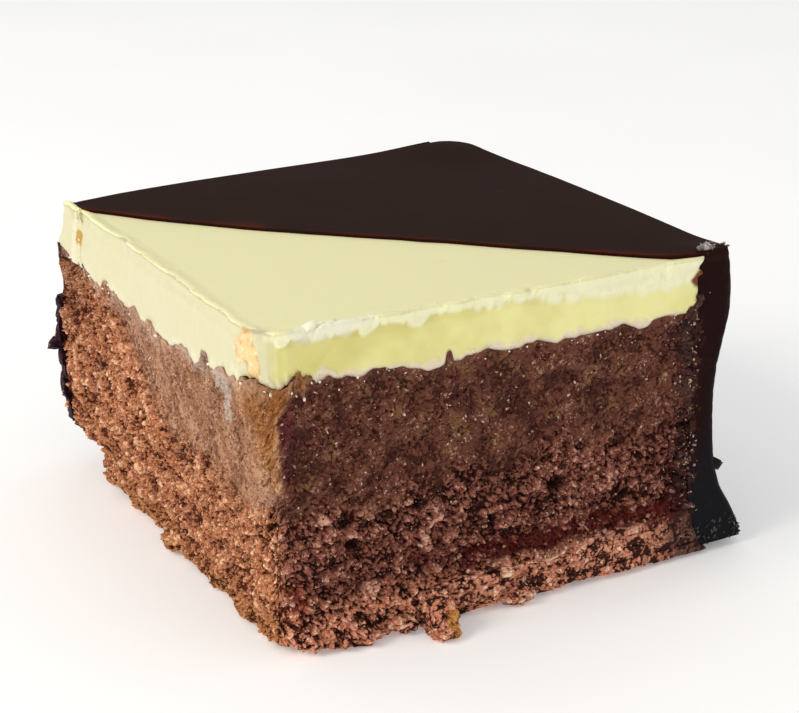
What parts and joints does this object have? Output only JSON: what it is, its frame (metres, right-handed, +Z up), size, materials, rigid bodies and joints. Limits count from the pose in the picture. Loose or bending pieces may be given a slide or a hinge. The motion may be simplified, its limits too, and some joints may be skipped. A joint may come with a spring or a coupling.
{
  "type": "cake slice",
  "caption": "Square slice of layered chocolate sponge with a jam seam, a soaked layer, a pale cream sheet and a dark coat over half the top.",
  "frame": {"origin": "middle of the slice's footprint, on the board it stands on", "axes": "+Z up through the layers; -Y out of the front cut face; -X out of the left cut face"},
  "size_m": [0.0662, 0.0694, 0.0386],
  "materials": {
    "base_sponge": "dry, open, crumbly chocolate sponge",
    "jam_seam": "dark red jam soaked into crumb, moist sheen",
    "crumb_sponge": "dry, open, crumbly chocolate sponge",
    "soaked_sponge": "dense, moist, syrup-soaked sponge with fine glints",
    "cream_sheet": "smooth pale yellow marzipan cream, satin, slightly translucent",
    "chocolate_coat": "set dark chocolate, satin on top, smooth at the sides"
  },
  "bodies": {
    "root": {"base_sponge": "base_sponge", "jam_seam": "jam_seam", "crumb_sponge": "crumb_sponge", "soaked_sponge": "soaked_sponge", "cream_sheet": "cream_sheet", "chocolate_coat": "chocolate_coat"}
  },
  "joints": []
}
